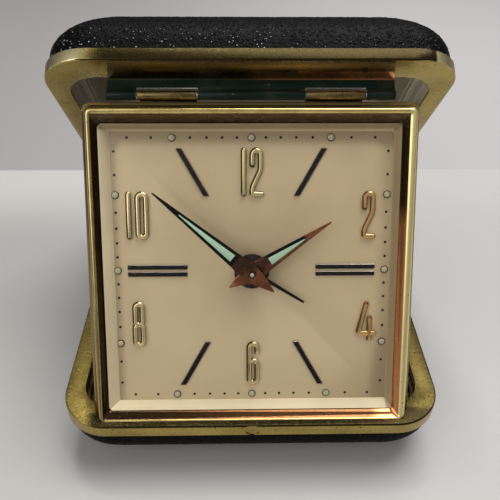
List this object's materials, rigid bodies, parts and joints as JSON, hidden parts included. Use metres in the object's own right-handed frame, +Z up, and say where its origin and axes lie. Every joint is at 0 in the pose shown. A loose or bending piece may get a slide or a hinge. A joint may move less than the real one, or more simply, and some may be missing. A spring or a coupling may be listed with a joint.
{
  "type": "folding travel clock",
  "caption": "Folding alarm clock: square brass-framed dial standing as a strut between two hinged padded leather-covered half shells.",
  "frame": {"origin": "centre of the object's bounding box, on the surface it stands on", "axes": "+Z up, -Y towards the viewer of the dial, +X to the right of the dial, hinge lines along X"},
  "size_m": [0.0802, 0.0914, 0.0828],
  "materials": {
    "rim_brass": "satin pitted brass, lacquered",
    "bezel_brass": "polished brass",
    "hinge_brass": "satin brass",
    "tray_bronze": "dark bronze paint",
    "lining_cloth": "grey-brown flocked lining",
    "case_leather": "dark grained leatherette",
    "case_padding": "padding under the leatherette, hidden",
    "crystal_clear": "clear, polished",
    "cream_paint": "cream satin paint",
    "dial_cream": "cream dial paint",
    "numeral_brass": "polished brass wire",
    "mark_black": "gloss black",
    "lume_pale": "pale luminous paint",
    "hand_black": "black lacquer over copper",
    "movement_brass": "turned brass",
    "movement_steel": "polished steel",
    "cover_steel": "brass-coloured lacquered steel",
    "knob_brass": "turned brass"
  },
  "bodies": {
    "base": {"base_rim": "rim_brass", "base_tray": "tray_bronze", "base_lining": "lining_cloth", "base_leather": "case_leather", "base_padding": "case_padding", "base_hinge_leaf": "hinge_brass", "case_hinge_pin": "movement_steel"},
    "lid": {"lid_rim": "rim_brass", "lid_tray": "tray_bronze", "lid_lining": "lining_cloth", "lid_leather": "case_leather", "lid_padding": "case_padding", "lid_hinge_leaf": "hinge_brass", "clock_leaf": "hinge_brass", "clock_hinge_pin": "movement_steel"},
    "clock": {"clock_knuckles": "hinge_brass", "bezel": "bezel_brass", "dial_border": "cream_paint", "crystal": "crystal_clear", "clock_body": "cover_steel", "dial_plate": "dial_cream", "dial_numerals": "numeral_brass", "dial_batons": "mark_black", "dial_studs": "lume_pale", "front_plate": "movement_brass", "back_plate": "movement_brass", "plate_pillars": "movement_brass", "plate_screws": "movement_steel", "rear_cover": "cover_steel", "cover_screws": "movement_steel", "hairspring": "movement_steel"},
    "minute_work": {"centre_arbor": "movement_steel", "cannon_pinion": "movement_brass", "minute_hand": "hand_black", "minute_hand_lume": "lume_pale", "time_knob": "knob_brass"},
    "minute_wheel": {"minute_wheel": "movement_brass"},
    "hour_work": {"hour_wheel": "movement_brass", "hour_hand": "hand_black", "hour_hand_lume": "lume_pale"},
    "alarm_setting": {"alarm_wheel": "movement_brass", "alarm_hand": "hand_black"},
    "alarm_setting_knob": {"alarm_set_arbor": "movement_steel", "alarm_knob": "knob_brass"},
    "time_winding": {"time_key": "knob_brass"},
    "alarm_winding": {"alarm_key": "knob_brass"},
    "going_barrel": {"going_barrel": "movement_brass", "going_mainspring": "movement_steel"},
    "centre_wheel": {"centre_wheel": "movement_brass"},
    "third_wheel": {"third_wheel": "movement_brass"},
    "fourth_wheel": {"fourth_wheel": "movement_brass"},
    "escape_wheel": {"escape_wheel": "movement_steel"},
    "pallet_lever": {"pallet_lever": "movement_steel"},
    "balance_wheel": {"balance_wheel": "movement_brass"},
    "alarm_barrel": {"alarm_barrel": "movement_brass", "alarm_mainspring": "movement_steel"},
    "alarm_escape_wheel": {"alarm_escape_wheel": "movement_steel"},
    "alarm_hammer": {"alarm_hammer": "movement_steel"},
    "stop_button": {"alarm_stop_button": "knob_brass"},
    "rate_lever": {"regulator_lever": "movement_steel"}
  },
  "joints": [
    {"name": "case_hinge", "type": "hinge", "parent": "base", "child": "lid", "pos_m": [0, 0.03887, 0.0122], "axis": [-1, 0, 0], "range_deg": [0, 50]},
    {"name": "clock_hinge", "type": "hinge", "parent": "lid", "child": "clock", "pos_m": [0, -0.01229, 0.0711], "axis": [1, 0, 0], "range_deg": [0, 67.6]},
    {"name": "hands_turn", "type": "hinge", "parent": "clock", "child": "minute_work", "pos_m": [0, -0.02693, 0.03998], "axis": [0, -0.8843, 0.467], "continuous": true},
    {"name": "minute_wheel_turn", "type": "hinge", "parent": "clock", "child": "minute_wheel", "pos_m": [-0.0064, -0.02693, 0.03998], "axis": [0, -0.8843, 0.467], "continuous": true},
    {"name": "hour_hand_turn", "type": "hinge", "parent": "clock", "child": "hour_work", "pos_m": [0, -0.02693, 0.03998], "axis": [0, -0.8843, 0.467], "continuous": true},
    {"name": "alarm_hand_turn", "type": "hinge", "parent": "clock", "child": "alarm_setting", "pos_m": [0, -0.02693, 0.03998], "axis": [0, -0.8843, 0.467], "continuous": true},
    {"name": "alarm_knob_turn", "type": "hinge", "parent": "clock", "child": "alarm_setting_knob", "pos_m": [0.00225, -0.03148, 0.03136], "axis": [0, -0.8843, 0.467], "continuous": true},
    {"name": "time_key_turn", "type": "hinge", "parent": "clock", "child": "time_winding", "pos_m": [-0.00906, -0.03024, 0.03372], "axis": [0, -0.8843, 0.467], "continuous": true},
    {"name": "alarm_key_turn", "type": "hinge", "parent": "clock", "child": "alarm_winding", "pos_m": [0.013, -0.03207, 0.03025], "axis": [0, -0.8843, 0.467], "continuous": true},
    {"name": "going_barrel_turn", "type": "hinge", "parent": "clock", "child": "going_barrel", "pos_m": [-0.00906, -0.03024, 0.03372], "axis": [0, -0.8843, 0.467], "continuous": true},
    {"name": "centre_wheel_turn", "type": "hinge", "parent": "clock", "child": "centre_wheel", "pos_m": [0, -0.02693, 0.03998], "axis": [0, -0.8843, 0.467], "continuous": true},
    {"name": "third_wheel_turn", "type": "hinge", "parent": "clock", "child": "third_wheel", "pos_m": [0.00695, -0.02357, 0.04634], "axis": [0, -0.8843, 0.467], "continuous": true},
    {"name": "fourth_wheel_turn", "type": "hinge", "parent": "clock", "child": "fourth_wheel", "pos_m": [-0.00185, -0.02231, 0.04872], "axis": [0, -0.8843, 0.467], "continuous": true},
    {"name": "escape_wheel_turn", "type": "hinge", "parent": "clock", "child": "escape_wheel", "pos_m": [-0.00942, -0.02103, 0.05115], "axis": [0, -0.8843, 0.467], "continuous": true},
    {"name": "alarm_barrel_turn", "type": "hinge", "parent": "clock", "child": "alarm_barrel", "pos_m": [0.013, -0.03207, 0.03025], "axis": [0, -0.8843, 0.467], "continuous": true},
    {"name": "alarm_escape_wheel_turn", "type": "hinge", "parent": "clock", "child": "alarm_escape_wheel", "pos_m": [0.02053, -0.02816, 0.03764], "axis": [0, -0.8843, 0.467], "continuous": true},
    {"name": "pallet_swing", "type": "hinge", "parent": "clock", "child": "pallet_lever", "pos_m": [-0.0152, -0.02025, 0.05262], "axis": [0, -0.8843, 0.467], "range_deg": [-4, 4]},
    {"name": "balance_swing", "type": "hinge", "parent": "clock", "child": "balance_wheel", "pos_m": [-0.0183, -0.01862, 0.05572], "axis": [0, -0.8843, 0.467], "range_deg": [-150, 150], "stiffness_Nm_per_rad": 0.000001},
    {"name": "hammer_swing", "type": "hinge", "parent": "clock", "child": "alarm_hammer", "pos_m": [0.0186, -0.0245, 0.04457], "axis": [0, -0.8843, 0.467], "range_deg": [-4, 4]},
    {"name": "rate_lever_swing", "type": "hinge", "parent": "clock", "child": "rate_lever", "pos_m": [-0.0183, -0.01862, 0.05572], "axis": [0, -0.8843, 0.467], "range_deg": [-25, 25]},
    {"name": "stop_button_slide", "type": "slide", "parent": "clock", "child": "stop_button", "axis": [0, -0.8843, 0.467], "range_m": [0, 0.0007], "stiffness_N_per_m": 150}
  ],
  "couplings": [
    {"joint": "clock_hinge", "follows": "case_hinge", "ratio": 1.352},
    {"joint": "hour_hand_turn", "follows": "hands_turn", "ratio": 0.083333},
    {"joint": "minute_wheel_turn", "follows": "hands_turn", "ratio": -0.33333},
    {"joint": "alarm_knob_turn", "follows": "alarm_hand_turn", "ratio": -3},
    {"joint": "escape_wheel_turn", "follows": "fourth_wheel_turn", "ratio": -4},
    {"joint": "third_wheel_turn", "follows": "fourth_wheel_turn", "ratio": -0.25},
    {"joint": "centre_wheel_turn", "follows": "fourth_wheel_turn", "ratio": 0.0625},
    {"joint": "going_barrel_turn", "follows": "fourth_wheel_turn", "ratio": -0.013158},
    {"joint": "alarm_escape_wheel_turn", "follows": "alarm_barrel_turn", "ratio": -5.4286}
  ]
}
